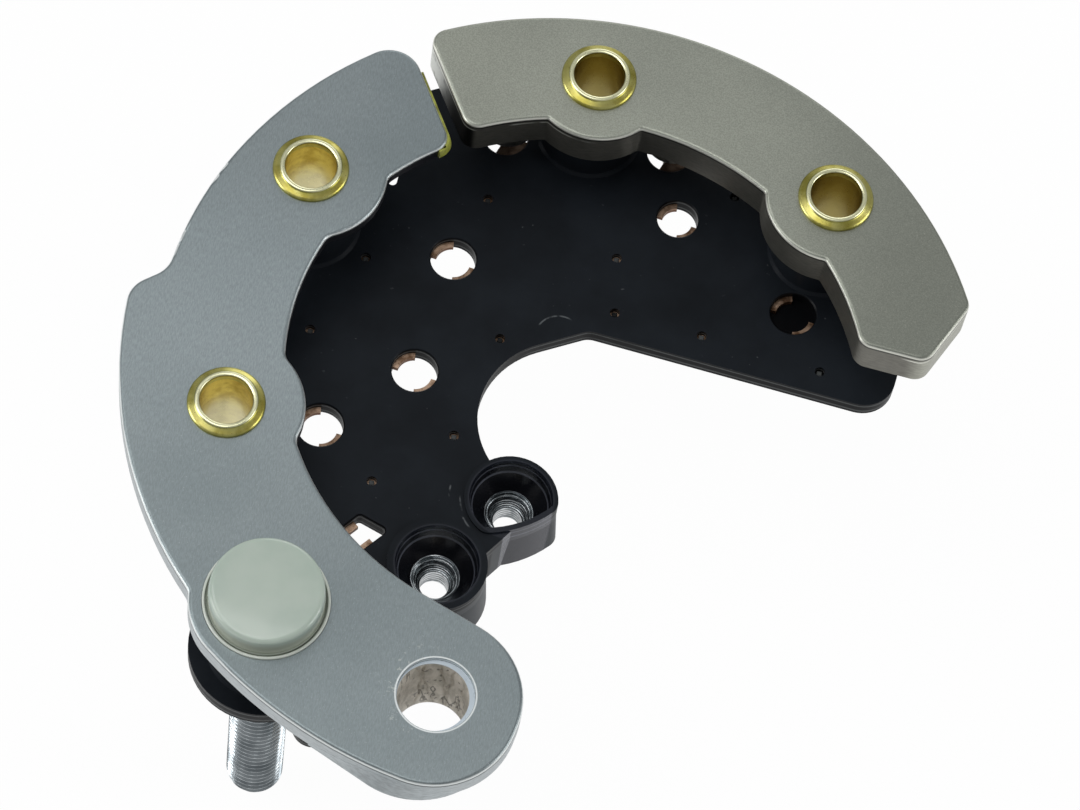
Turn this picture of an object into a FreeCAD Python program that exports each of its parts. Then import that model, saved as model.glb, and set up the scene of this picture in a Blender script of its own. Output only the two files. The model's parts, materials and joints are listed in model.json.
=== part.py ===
import FreeCAD, Part
import math
import os

# Alternator rectifier: two heat sink plates riveted to a black terminal board, in millimetres.
# It is set out from the rotor axis, with height zero on the top faces of the two plates.
# The frame's origin lies on the axis of the fixing ear, at the seat under its sleeve.

V = FreeCAD.Vector

# Both plates
sink_r = 55.9
sink_gap = 3.3
gap_deg = 120.0
end_spare_deg = 3.0
plate_round = 2.3
plate_edge_r = 0.5

# Positive plate, which carries the stud and the ear
positive_wide = 17.6
positive_thick = 3.5
positive_rim_thick = 2.0
positive_rim_wide = 1.5
positive_rim_end_deg = 205.0
positive_step = 4.3
positive_low_step = 2.8
positive_boss_r = 10.5
positive_hollow_r = 2.2
positive_end_round = 4.4
step_deg = 177.45
step_spread_deg = 1.85
step_round = 4.2

# Negative plate
negative_wide = 16.3
negative_thick = 6.0
negative_end_past = 0.3
negative_boss_r = 9.7
negative_hollow_r = 0.6
negative_toe = (7.514, 14.2373)
negative_heel_deg = 18.6
negative_shoulder_deg = 22.6

# Hollow rivets, each at an angle on one pitch circle
rivet_inset = 9.6
rivet_deg = {"positive_upper": 149.7, "positive_lower": 197.6,
             "negative_left": 94.7, "negative_right": 47.7}
rivet_bore_r = 3.5
rivet_wall = 0.5
rivet_rim_r = 5.2
rivet_rim_high = 1.1
rivet_flange_high = 0.6
rivet_lip_r = 4.3
rivet_rim_ease = 0.3
rivet_lip_ease = 0.2
rivet_foot_r = 5.0
rivet_foot_high = 0.5

# Fixing ear and the sleeve under it
ear_at = (5.478, 259.024)
ear_hole_r = 5.1
ear_r = 11.3
skirt_at = (3.153, 257.518)
skirt_r = 11.55
skirt_start = (-7.247, 247.171)
skirt_turn_deg = 247.4
skirt_top_deg = 259.0
skirt_root_in = 4.0
skirt_inset = 0.7
sleeve_bore_r = 4.75
sleeve_wall = 2.6
sleeve_top_drop = 0.6
sleeve_seat_drop = 13.7

# Output stud and the cap over its head
stud_at = (3.018, 230.833)
stud_r = 3.95
stud_shank_r = 4.6
stud_shank_below = 0.6
stud_tip_drop = 58.0
stud_tip_taper = 1.6
stud_end_r = 2.5
stud_head_r = 6.4
stud_head_thick = 1.8
recess_r = 8.4
recess_deep = 2.0
cap_r = 7.75
cap_proud = 3.6
cap_edge_r = 1.2

# Terminal board
board_drop = 14.5
board_thick = 2.5
board_inset = 0.9
board_open_at = (0.9, 0.15)
board_open_r = 12.5
board_open_deg = 118.5
board_kink = (1.4, 14.7)
board_toe = (10.89, 13.8819)
board_end_deg = 33.4
board_left_deg = 221.0
board_lap_deg = 4.0
board_lap_turns = (60.0, 90.0)
board_round = 2.8
board_toe_round = 4.6
spacer_r = 7.2
spacer_base_r = 7.6
spacer_base_high = 0.5
stud_pad_r = 9.9
tail_points = [(-4.598, 245.384), (7.151, 248.963)]
tail_root = (-12.0, -30.0)

# Holes through the board
lead_hole_r = 3.2
narrow_holes = {"d": 2.9}
lead_holes = {"a": (-19.0, 21.9), "b": (-21.1, 3.6), "c": (-32.2, -7.3), "d": (10.7, 34.9),
              "g": (28.8, 23.4)}
outer_lead_holes = {"e": (10.2, 109.426), "f": (9.818, 80.1289)}
hole_lip = 0.2
slot_wide = 4.2
slot_long = 5.4
slot_round = 0.6
slots = {"h": (-28.95, 31.35, 151.6, 87.0), "i": (-20.3, -20.95, 231.0, 160.0)}
blind_hole = "g"
pin_hole_r = 0.7
pin_holes = [(-15.9, 32.3), (-30.9, 19.5), (3.3, 26.8), (4.4, 18.2), (-36.3, 6.8), (-10.5, 10.9),
             (-14.1, -5.1), (16.8, 17.2), (33.7, 15.1), (-23.8, -14.2), (18.1, 40.1)]
wire_hole_r = 1.7

# Copper strips moulded into the board
strip_wide = 3.2
strip_thick = 0.8
strip_cover = 1.0
pad_rim = 1.2
pad_set_back = 0.3
tab_reach = 0.8
tab_spread_deg = 74.0
tab_turn_deg = 135.0
finger_spread_deg = 110.0
finger_turn_deg = 125.0
slot_tab_reach = 0.95
slot_tab_long = 1.95
strip_routes = {
    "1": [["e", (-15.9, 32.3), "a", (-30.9, 19.5), "h"]],
    "2": [["f", "d", (3.3, 26.8), (-9.5, 20.0), "b", (-36.3, 6.8), "positive_2"], ["b", "c"]],
    "3": [["negative_3", "g", (16.8, 17.2), (4.4, 18.2), (-10.5, 10.9), (-14.2, 2.8), (-14.1, -5.1),
           (-23.8, -14.2), "i", "positive_3"]]}

# Diodes on the undersides of the plates
diode_r = 3.9
diode_high = 5.2
diode_rim_high = 1.0
diode_rim_out = 0.3
diode_stem_r = 0.65
diode_stem_below = 0.5
diode_holes = {"positive_1": "h", "negative_1": "e", "negative_2": "f"}
diode_at = {"positive_2": (8.9, 173.7), "positive_3": (9.5, 213.6), "negative_3": (9.7, 27.5)}

# Wells for the regulator screws
well_at = {"upper": (-4.85, -13.1), "lower": (-12.95, -24.65)}
well_r = {"upper": 6.4, "lower": 6.8}
well_flat_r = 16.0
well_flat_off = 4.45
well_flat_deg = -58.8
well_flat_wall = 0.75
well_flat_round = 2.0
well_mouth_r = 5.7
well_lip = 0.4
well_drop = 24.0
well_foot_high = 6.5
well_foot_out = 0.5
well_web_wide = 6.6
well_bowl_r = 5.2
well_bowl_drop = 16.4
bush_r = 3.4
bush_top_drop = 18.5
bush_mouth_r = 3.15
bush_mouth_deep = 0.9
bush_counter_r = 2.45
bush_counter_deep = 3.1
bush_bore_r = 1.9

# Insulating film on the positive plate's end
film_thick = 0.35
film_top_inset = 5.3
film_foot_deg = 128.3
film_reach = 8.0
film_spare_deg = 8.0

# Fits
fit_gap = 0.05
overlap = 1.0

board_top = -board_drop
board_low = board_top - board_thick
strip_top = board_top - strip_cover
strip_low = strip_top - strip_thick
well_low = -well_drop
rivet_r = rivet_bore_r + rivet_wall
positive_in_r = sink_r - positive_wide
positive_mid_r = sink_r + positive_step
positive_low_r = positive_mid_r + positive_low_step
negative_in_r = sink_r - negative_wide
rivet_pitch_r = sink_r - rivet_inset
board_r = sink_r - board_inset
film_top_r = sink_r - film_top_inset


def polar(radius, degrees, z=0.0):
    angle = math.radians(degrees)
    return V(radius * math.cos(angle), radius * math.sin(angle), z)


def flat(point):
    return V(point[0], point[1], 0)


def inset(place):
    # A point at a distance inside the plates' outer arc and at an angle.
    return polar(sink_r - place[0], place[1])


def prism(face, top, low):
    solid = face.extrude(V(0, 0, top - low))
    solid.translate(V(0, 0, low))
    return solid


def rod(centre, radius, top, low):
    return Part.makeCylinder(radius, top - low, V(centre.x, centre.y, low))


def polygon(points):
    return Part.Face(Part.makePolygon(points + [points[0]]))


def sector(inner, outer, start, end):
    middle = (start + end) / 2.0
    edges = [Part.makeLine(polar(inner, start), polar(outer, start)),
             Part.Arc(polar(outer, start), polar(outer, middle), polar(outer, end)).toShape(),
             Part.makeLine(polar(outer, end), polar(inner, end)),
             Part.Arc(polar(inner, end), polar(inner, middle), polar(inner, start)).toShape()]
    return Part.Face(Part.Wire(edges))


def bar(start, end, wide):
    along = end - start
    side = V(-along.y, along.x, 0).normalize() * (wide / 2.0)
    return polygon([start + side, start - side, end - side, end + side])


def pill(start, end, radius):
    along = (end - start).normalize()
    side = V(-along.y, along.x, 0) * radius
    edges = [Part.makeLine(start + side, end + side),
             Part.Arc(end + side, end + along * radius, end - side).toShape(),
             Part.makeLine(end - side, start - side),
             Part.Arc(start - side, start - along * radius, start + side).toShape()]
    return Part.Face(Part.Wire(edges))


def joined(solids):
    return solids[0].fuse(solids[1:]).removeSplitter()


def turned(centre, profile):
    # A closed profile of (radius, height) points, turned about the upright axis at centre.
    face = polygon([V(radius, 0, height) for radius, height in profile])
    solid = face.revolve(V(0, 0, 0), V(0, 0, 1), 360)
    solid.translate(V(centre.x, centre.y, 0))
    return solid


def corner_fill(solid, edge):
    # The share of a small circle round an upright edge that lies inside the solid.
    middle = (edge.Vertexes[0].Point + edge.Vertexes[-1].Point) * 0.5
    steps = 24
    radius = 0.05
    inside = sum(solid.isInside(middle + polar(radius, 360.0 * (i + 0.5) / steps), 0.0001, False)
                 for i in range(steps))
    return inside / steps


def upright_edges(solid):
    tall = 0.99 * solid.BoundBox.ZLength
    return [edge for edge in solid.Edges if edge.BoundBox.ZLength > tall
            and max(edge.BoundBox.XLength, edge.BoundBox.YLength) < 0.001]


def round_at(solid, radius, points):
    near = [edge for edge in upright_edges(solid)
            if any(math.hypot(edge.BoundBox.Center.x - point.x, edge.BoundBox.Center.y - point.y) < 0.01
                   for point in points)]
    return solid.makeFillet(radius, near)


def round_corners(solid, outward, inward):
    # Upright edges get a radius: outward corners one, inward corners another.
    shares = [(edge, corner_fill(solid, edge)) for edge in upright_edges(solid)]
    corners = [edge for edge, share in shares if share < 0.46]
    hollows = [edge for edge, share in shares if share > 0.54]
    shape = solid
    if corners:
        shape = shape.makeFillet(outward, corners)
    if hollows:
        centres = [edge.BoundBox.Center for edge in hollows]
        shape = round_at(shape, inward, centres)
    return shape


def ease_face(solid, radius, height):
    rim = [edge for edge in solid.Edges
           if abs(edge.BoundBox.ZMin - height) < 0.001 and edge.BoundBox.ZLength < 0.001]
    return solid.makeFillet(radius, rim)


def rivet_axis(name):
    return polar(rivet_pitch_r, rivet_deg[name])


def end_trim(offset, side):
    # A block past the end line of a plate, which runs beside the line through the gap.
    along = polar(1.0, gap_deg)
    across = V(-along.y, along.x, 0) * side
    near = along * (0.4 * sink_r) + across * offset
    far = along * (1.3 * sink_r) + across * offset
    back = across * (-0.5 * sink_r)
    return polygon([near, far, far + back, near + back])


def positive_boss(name, top, low):
    # The pad under a rivet runs past the inner arc, never past the outer edge.
    limit = sink_r if name == "positive_upper" else positive_mid_r
    return rod(rivet_axis(name), positive_boss_r, top, low).common(rod(V(), limit, top, low))


def positive_blank(top, low):
    ear = inset(ear_at)
    ear_deg = math.degrees(math.atan2(ear.y, ear.x)) % 360.0
    ear_low = polar(positive_low_r - ear_r, ear_deg)
    line_deg = ear_deg - math.degrees(math.acos((positive_in_r + ear_r) / ear.Length))
    line_end = ear - polar(ear_r, line_deg)
    stud = inset(stud_at)
    stud_deg = math.degrees(math.atan2(stud.y, stud.x)) % 360.0
    middle_r = (positive_in_r + positive_low_r) / 2.0
    step_start = step_deg - step_spread_deg
    step_end = step_deg + step_spread_deg
    faces = [sector(positive_in_r, sink_r, gap_deg - end_spare_deg, step_end + overlap),
             polygon([polar(middle_r, step_start), polar(sink_r, step_start),
                      polar(positive_mid_r, step_end), polar(middle_r, step_end)]),
             sector(positive_in_r, positive_mid_r, step_end, stud_deg),
             sector(positive_in_r, middle_r, stud_deg - overlap, line_deg),
             sector(0.9 * middle_r, positive_low_r, stud_deg, ear_deg),
             polygon([polar(positive_in_r, line_deg), line_end, ear, polar(middle_r, line_deg)]),
             pill(ear, ear_low, ear_r)]
    solids = [prism(face, top, low) for face in faces]
    solids.append(rod(stud, positive_low_r - stud.Length, top, low))
    solids += [positive_boss(name, top, low) for name in rivet_deg if name.startswith("positive")]
    blank = joined(solids).cut(prism(end_trim(sink_gap, 1), top, low)).removeSplitter()
    along = math.sqrt(sink_r ** 2 - sink_gap ** 2)
    end_corner = polar(along, gap_deg) + polar(sink_gap, gap_deg + 90.0)
    blank = round_at(blank, positive_end_round, [end_corner])
    blank = round_at(blank, step_round, [polar(sink_r, step_start), polar(positive_mid_r, step_end)])
    return round_corners(blank, plate_round, positive_hollow_r)


def between(upper, lower):
    return Part.makeLoft([upper, lower], True, True)


def ear_skirt(top, low):
    # Under its rounded edge the ear's wall leans outward, from the stud's side round to its foot.
    centres = [polar(positive_low_r - ear_r, skirt_top_deg, top), inset(skirt_at) + V(0, 0, low)]
    radii = [ear_r - skirt_inset, skirt_r]
    rounds = [Part.Wire(Part.makeCircle(radius, centre)) for centre, radius in zip(centres, radii)]
    starts = [inset(skirt_start) * ((positive_low_r - skirt_inset) / inset(skirt_start).Length) + V(0, 0, top),
              inset(skirt_start) + V(0, 0, low)]
    quads = []
    for start, centre, radius in zip(starts, centres, radii):
        turn = centre + polar(radius, skirt_turn_deg)
        inner = polar(positive_mid_r - skirt_root_in, skirt_turn_deg, start.z)
        quads.append(Part.makePolygon([start, turn, centre, inner, start]))
    return between(rounds[0], rounds[1]).fuse(between(quads[0], quads[1]))


def positive_rebate(low):
    # Underneath, the plate is thinner along its inner edge and where the board's posts meet it.
    top = -positive_rim_thick
    rebate = prism(sector(0.8 * positive_in_r, positive_in_r + positive_rim_wide, gap_deg - end_spare_deg,
                          positive_rim_end_deg), top, low)
    for name in rivet_deg:
        if name.startswith("positive"):
            rebate = rebate.fuse(rod(rivet_axis(name), spacer_r + fit_gap, top, low))
    return rebate


def positive_heat_sink():
    low = -positive_thick
    stud = inset(stud_at)
    plate = ease_face(positive_blank(0, low), plate_edge_r, 0)
    plate = plate.fuse(ear_skirt(-plate_edge_r, low)).removeSplitter()
    for name in rivet_deg:
        if name.startswith("positive"):
            plate = plate.cut(rod(rivet_axis(name), rivet_r + fit_gap, 0, low))
    plate = plate.cut(rod(inset(ear_at), ear_hole_r, 0, low))
    plate = plate.cut(rod(stud, stud_shank_r + fit_gap, 0, low))
    plate = plate.cut(rod(stud, recess_r, 0, -recess_deep))
    return plate.cut(positive_rebate(low))


def negative_heat_sink():
    low = -negative_thick
    toe = inset(negative_toe)
    heel_deg = negative_heel_deg
    shoulder_deg = negative_shoulder_deg
    heel = polar(negative_in_r, heel_deg)
    shoulder = polar(sink_r, shoulder_deg)
    middle_r = (negative_in_r + sink_r) / 2.0
    faces = [sector(negative_in_r, sink_r, shoulder_deg, gap_deg + overlap),
             sector(negative_in_r, middle_r, heel_deg, shoulder_deg + overlap),
             polygon([heel, toe, shoulder, polar(middle_r, shoulder_deg), polar(middle_r, heel_deg)])]
    solids = [prism(face, 0, low) for face in faces]
    for name in rivet_deg:
        if name.startswith("negative"):
            solids.append(rod(rivet_axis(name), negative_boss_r, 0, low).common(rod(V(), sink_r, 0, low)))
    blank = joined(solids).cut(prism(end_trim(-negative_end_past, -1), 0, low)).removeSplitter()
    plate = ease_face(round_corners(blank, plate_round, negative_hollow_r), plate_edge_r, 0)
    for name in rivet_deg:
        if name.startswith("negative"):
            plate = plate.cut(rod(rivet_axis(name), rivet_r + fit_gap, 0, low))
    return plate


def slot_corners(name):
    # A skewed four-sided hole: its sides run one way from the first corner, its ends another.
    x, y, side_deg, end_deg = slots[name]
    corner = V(x, y, 0)
    side = polar(slot_long, side_deg)
    end = polar(slot_wide / abs(math.sin(math.radians(side_deg - end_deg))), end_deg)
    return [corner, corner + side, corner + side + end, corner + end]


def slot_prism(name, grow, top, low):
    blank = round_corners(prism(polygon(slot_corners(name)), 1, 0), slot_round, slot_round)
    face = lower_face(blank)
    if grow:
        face = face.makeOffset2D(grow)
    return prism(face, top, low)


def lower_face(solid):
    return min(solid.Faces, key=lambda face: face.CenterOfMass.z)


def hole_centre(name):
    if name in lead_holes:
        return flat(lead_holes[name])
    if name in outer_lead_holes:
        return inset(outer_lead_holes[name])
    corners = slot_corners(name)
    return (corners[0] + corners[2]) * 0.5


def hole_radius(name):
    return narrow_holes.get(name, lead_hole_r)


def diode_centre(name):
    if name in diode_at:
        return inset(diode_at[name])
    return hole_centre(diode_holes[name])


def spacer_height(name):
    return -positive_rim_thick if name.startswith("positive") else -negative_thick


def plate_underside(name):
    return -positive_thick if name.startswith("positive") else -negative_thick


def board_slab():
    top, low = board_top, board_low
    upper_r = 0.7 * board_r
    left_deg = board_left_deg - overlap
    toe = inset(board_toe)
    kink = flat(board_kink)
    shoulder = polar(board_r, board_end_deg)
    tail = [inset(place) for place in tail_points] + [flat(tail_root)]
    centre = flat(board_open_at)
    inner_r = 0.8 * board_open_r
    lap = [polar(upper_r, degrees) for degrees in board_lap_turns]
    lap += [polar(upper_r, board_open_deg + board_lap_deg),
            centre + polar(board_open_r, board_open_deg + 2.0 * board_lap_deg),
            centre + polar(board_open_r, board_open_deg)]
    faces = [sector(inner_r, board_r, board_open_deg - overlap, board_left_deg),
             sector(0.6 * board_r, board_r, board_end_deg, board_open_deg),
             polygon([kink, toe, shoulder] + lap),
             polygon([polar(inner_r, left_deg), polar(board_r, left_deg), inset(stud_at)]
                     + tail + [flat(well_at["lower"]), flat(well_at["upper"])])]
    solids = [prism(face, top, low) for face in faces]
    slab = joined(solids).cut(rod(centre, board_open_r, top, low)).removeSplitter()
    slab = round_at(slab, board_toe_round, [toe])
    return round_at(slab, board_round, [shoulder, kink, tail[0]])


def well_form(name, radius, wall, top, low):
    # Round, but for the upper well's near side, which is pulled in to a shallow arc.
    place = flat(well_at[name])
    form = rod(place, radius, top, low)
    if name != "upper":
        return form
    centre = place + polar(well_flat_off - well_flat_r, well_flat_deg)
    form = form.common(rod(centre, well_flat_r - wall, top, low))
    return round_corners(form, well_flat_round, well_flat_round)


def well_bodies():
    wells = {name: flat(place) for name, place in well_at.items()}
    rim = board_top + well_lip
    foot_top = well_low + well_foot_high
    bodies = [prism(bar(wells["upper"], wells["lower"], well_web_wide), board_top, well_low)]
    for name in well_at:
        body = well_form(name, well_r[name], 0, rim, foot_top)
        foot = well_form(name, well_r[name] + well_foot_out, -well_foot_out, foot_top, well_low)
        bodies += [body, between(lower_face(body), lower_face(foot))]
    return bodies


def well_bowl(name):
    place = flat(well_at[name])
    rim = board_top + well_lip
    bowl = turned(place, [(0, rim), (well_mouth_r, rim), (well_bowl_r, -well_bowl_drop),
                          (bush_r, -bush_top_drop), (bush_r, well_low), (0, well_low)])
    return bowl.common(well_form(name, well_mouth_r + overlap, well_flat_wall, rim, well_low))


def lead_hole(name):
    low = strip_low if name == blind_hole else board_low
    step = board_top - hole_lip
    if name in slots:
        return slot_prism(name, 0, board_top, low).fuse(slot_prism(name, hole_lip, board_top, step))
    centre = hole_centre(name)
    radius = hole_radius(name)
    return turned(centre, [(0, board_top), (radius + hole_lip, board_top), (radius, step), (radius, low),
                           (0, low)])


def terminal_board():
    spacers = [(rivet_axis(name), spacer_height(name), rivet_r + fit_gap) for name in rivet_deg]
    spacers.append((inset(stud_at), -positive_thick, stud_shank_r + fit_gap))
    solids = [board_slab(), rod(inset(stud_at), stud_pad_r, board_top, board_low)] + well_bodies()
    for centre, height, hole_r in spacers:
        solids.append(turned(centre, [(0, board_low), (spacer_r, board_low), (spacer_base_r, board_top),
                                      (spacer_r, board_top + spacer_base_high), (spacer_r, height),
                                      (0, height)]))
    cutters = [rod(centre, hole_r, height, board_low) for centre, height, hole_r in spacers]
    cutters += [well_bowl(name) for name in well_at]
    cutters += [lead_hole(name) for name in list(lead_holes) + list(outer_lead_holes) + list(slots)]
    cutters += [rod(flat(place), pin_hole_r, board_top, strip_top) for place in pin_holes]
    cutters += [rod(diode_centre(name), wire_hole_r, board_top, board_low) for name in diode_at]
    board = joined(solids)
    for cutter in cutters:
        board = board.cut(cutter)
    for routes in strip_routes.values():
        board = board.cut(copper_strip(routes))
    return board


def route_point(stop):
    if stop in lead_holes or stop in outer_lead_holes or stop in slots:
        return hole_centre(stop)
    if stop in diode_at:
        return diode_centre(stop)
    return flat(stop)


def round_pad(stop):
    # A ring set back behind a lead hole's wall, with two tabs standing into the hole,
    # or fingers that grip a diode's lead.
    centre = route_point(stop)
    radius = hole_radius(stop)
    gripped = stop in diode_holes.values()
    reach = radius - diode_stem_r - fit_gap if gripped else tab_reach
    turn = finger_turn_deg if gripped else tab_turn_deg
    half = (finger_spread_deg if gripped else tab_spread_deg) / 2.0
    hole = rod(centre, radius + pad_set_back, strip_top, strip_low)
    for way in (turn, turn + 180.0):
        tab = prism(sector(radius - reach, radius + overlap, way - half, way + half), strip_top, strip_low)
        tab.translate(centre)
        hole = hole.cut(tab)
    return rod(centre, radius + pad_rim, strip_top, strip_low), hole


def slot_pad(stop):
    centre = hole_centre(stop)
    corners = slot_corners(stop)
    side = (corners[1] - corners[0]).normalize()
    across = V(-side.y, side.x, 0)
    gripped = stop in diode_holes.values()
    reach = slot_wide / 2.0 - diode_stem_r - fit_gap if gripped else slot_tab_reach
    hole = slot_prism(stop, pad_set_back, strip_top, strip_low)
    for way in (across, across * -1.0):
        tab = prism(bar(centre + way * (slot_wide / 2.0 - reach), centre + way * slot_wide,
                        slot_tab_long), strip_top, strip_low)
        hole = hole.cut(tab)
    return slot_prism(stop, pad_rim, strip_top, strip_low), hole


def copper_strip(routes):
    solids, holes = [], []
    stops = {stop: route_point(stop) for route in routes for stop in route}
    for route in routes:
        for start, end in zip(route, route[1:]):
            solids.append(prism(bar(stops[start], stops[end], strip_wide), strip_top, strip_low))
    for stop, centre in stops.items():
        if stop in slots:
            pad, hole = slot_pad(stop)
            holes.append(hole)
        elif stop in lead_holes or stop in outer_lead_holes:
            pad, hole = round_pad(stop)
            holes.append(hole)
        elif stop in diode_at:
            pad = rod(centre, wire_hole_r + pad_rim, strip_top, strip_low)
            holes.append(rod(centre, diode_stem_r + fit_gap, strip_top, strip_low))
        else:
            pad = rod(centre, strip_wide / 2.0, strip_top, strip_low)
        solids.append(pad)
    strip = joined(solids)
    for hole in holes:
        strip = strip.cut(hole)
    return strip.removeSplitter()


def rivet(name):
    foot = board_low - rivet_foot_high
    profile = [(rivet_bore_r, foot), (rivet_foot_r, foot), (rivet_foot_r, board_low), (rivet_r, board_low),
               (rivet_r, 0), (rivet_rim_r, 0), (rivet_rim_r, 0.5 * rivet_flange_high),
               (rivet_rim_r - rivet_rim_ease, rivet_flange_high), (rivet_lip_r, rivet_flange_high),
               (rivet_lip_r - rivet_lip_ease, rivet_rim_high), (rivet_bore_r + rivet_lip_ease, rivet_rim_high),
               (rivet_bore_r, rivet_rim_high - rivet_rim_ease)]
    return turned(rivet_axis(name), profile)


def output_stud():
    floor = -recess_deep
    shoulder = board_low - stud_shank_below
    return turned(inset(stud_at), [(0, floor + stud_head_thick), (stud_head_r, floor + stud_head_thick),
                                  (stud_head_r, floor), (stud_shank_r, floor), (stud_shank_r, shoulder),
                                  (stud_r, shoulder),
                                  (stud_r, -stud_tip_drop + stud_tip_taper), (stud_end_r, -stud_tip_drop),
                                  (0, -stud_tip_drop)])


def stud_cap():
    floor = -recess_deep
    centre = inset(stud_at)
    cap = ease_face(rod(centre, cap_r, cap_proud, floor), cap_edge_r, cap_proud)
    return cap.cut(rod(centre, stud_head_r + fit_gap, floor + stud_head_thick + fit_gap, floor))


def ear_sleeve():
    outer_r = sleeve_bore_r + sleeve_wall
    seat = -sleeve_seat_drop
    return turned(inset(ear_at), [(sleeve_bore_r, seat), (outer_r, seat), (outer_r, -positive_thick),
                                 (ear_hole_r, -positive_thick), (ear_hole_r, -sleeve_top_drop),
                                 (sleeve_bore_r, -sleeve_top_drop)])


def diode(name):
    top = plate_underside(name)
    low = top - diode_high
    end = board_low - diode_stem_below
    return turned(diode_centre(name), [(0, top), (diode_r + diode_rim_out, top),
                                       (diode_r + diode_rim_out, top - diode_rim_high),
                                       (diode_r, top - diode_rim_high), (diode_r, low),
                                       (diode_stem_r, low), (diode_stem_r, end), (0, end)])


def well_bush(place):
    top = -bush_top_drop
    return turned(place, [(bush_mouth_r, top), (bush_r, top), (bush_r, well_low), (bush_bore_r, well_low),
                          (bush_bore_r, top - bush_counter_deep), (bush_counter_r, top - bush_counter_deep),
                          (bush_counter_r, top - bush_mouth_deep)])


def end_film():
    high = positive_rim_thick - plate_edge_r
    blank = positive_blank(high, 0)
    inner_r = 0.8 * positive_in_r
    end = blank.common(prism(sector(inner_r, positive_mid_r, gap_deg, film_foot_deg + film_spare_deg), high, 0))
    grown = prism(lower_face(end).makeOffset2D(film_thick), high, 0)
    along = polar(film_top_r, gap_deg)
    reach = prism(polygon([along, along + polar(film_reach, gap_deg + 90.0), polar(1.1 * positive_in_r, film_foot_deg),
                           polar(inner_r, film_foot_deg), polar(inner_r, gap_deg)]), high, 0)
    film = grown.cut(blank).common(reach)
    film.translate(V(0, 0, -positive_rim_thick))
    return film


def all_parts():
    parts = {"positive_heat_sink": positive_heat_sink(),
             "negative_heat_sink": negative_heat_sink(),
             "terminal_board": terminal_board(),
             "output_stud": output_stud(),
             "stud_cap": stud_cap(),
             "ear_sleeve": ear_sleeve(),
             "positive_end_film": end_film()}
    for name in rivet_deg:
        parts["rivet_" + name] = rivet(name)
    for name in list(diode_holes) + list(diode_at):
        parts["diode_" + name] = diode(name)
    for name, routes in strip_routes.items():
        parts["phase_" + name + "_copper_strip"] = copper_strip(routes)
    for name, place in well_at.items():
        parts[name + "_well_bush"] = well_bush(flat(place))
    return parts


os.makedirs("parts", exist_ok=True)
for node, shape in all_parts().items():
    shape.translate(V(0, 0, sleeve_seat_drop) - inset(ear_at))
    shape.exportStep("parts/" + node + ".step")
    print(node, len(shape.Solids), round(shape.Volume, 1))
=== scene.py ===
import json
import math

import bmesh
import bpy
import numpy as np
from mathutils import Matrix


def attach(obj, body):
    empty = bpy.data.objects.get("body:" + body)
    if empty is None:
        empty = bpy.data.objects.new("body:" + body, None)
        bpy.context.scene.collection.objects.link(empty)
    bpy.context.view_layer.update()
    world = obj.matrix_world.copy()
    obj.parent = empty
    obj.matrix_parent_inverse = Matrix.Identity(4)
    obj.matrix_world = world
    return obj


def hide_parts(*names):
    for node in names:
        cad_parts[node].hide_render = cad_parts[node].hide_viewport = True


# Alternator rectifier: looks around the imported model.
# Shapes are set out in millimetres from the rotor axis, with height zero on the plates' top faces.

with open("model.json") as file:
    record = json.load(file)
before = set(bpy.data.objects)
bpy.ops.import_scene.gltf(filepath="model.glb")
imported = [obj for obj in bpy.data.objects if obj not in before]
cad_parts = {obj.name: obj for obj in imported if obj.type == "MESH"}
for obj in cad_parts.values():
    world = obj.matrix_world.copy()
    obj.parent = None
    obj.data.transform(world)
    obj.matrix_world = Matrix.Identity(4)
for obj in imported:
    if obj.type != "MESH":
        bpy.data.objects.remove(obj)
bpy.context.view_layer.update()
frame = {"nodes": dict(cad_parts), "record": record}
nodes = frame["nodes"]
mounts = {mount["name"]: mount for mount in frame["record"]["mounts"]}

mm = 0.001
rotorAxis = np.array([9.6, 49.5, 13.7])   # where the rotor frame's origin lies in the part's frame


def toPart(points):
    return (np.asarray(points, float) + rotorAxis) * mm


def mountPlace(name):
    # a mount's axis as x, y in the rotor frame
    place = np.array(mounts[name]["pos_m"]) / mm - rotorAxis
    return place[:2]


# Camera
view = {"spot": (-3.4, -270.7, 510.3), "elevation": 62.55, "roll": 10.74, "focal": 4328.0, "width": 1080.0}


def turnTo(right, up, back):
    # the turn whose own axes point right, up and back
    return Matrix([list(row) for row in np.stack([right, up, back], axis=1)]).to_4x4()


def aimCamera(look):
    tilt, roll = math.radians(look["elevation"]), math.radians(look["roll"])
    ahead = np.array([0.0, math.cos(tilt), -math.sin(tilt)])
    level = np.array([1.0, 0.0, 0.0])
    upright = np.array([0.0, math.sin(tilt), math.cos(tilt)])
    right = math.cos(roll) * level + math.sin(roll) * upright
    up = -math.sin(roll) * level + math.cos(roll) * upright
    camera = bpy.data.cameras.new("camera")
    camera.sensor_fit = "HORIZONTAL"
    camera.sensor_width = 36.0
    camera.lens = look["focal"] * camera.sensor_width / look["width"]
    camera.clip_start = 0.01
    camera.clip_end = 20.0
    holder = bpy.data.objects.new("camera", camera)
    holder.matrix_world = Matrix.Translation(toPart(look["spot"])) @ turnTo(right, up, -ahead)
    bpy.context.scene.collection.objects.link(holder)
    bpy.context.scene.camera = holder


aimCamera(view)
print("camera placed")


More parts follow.
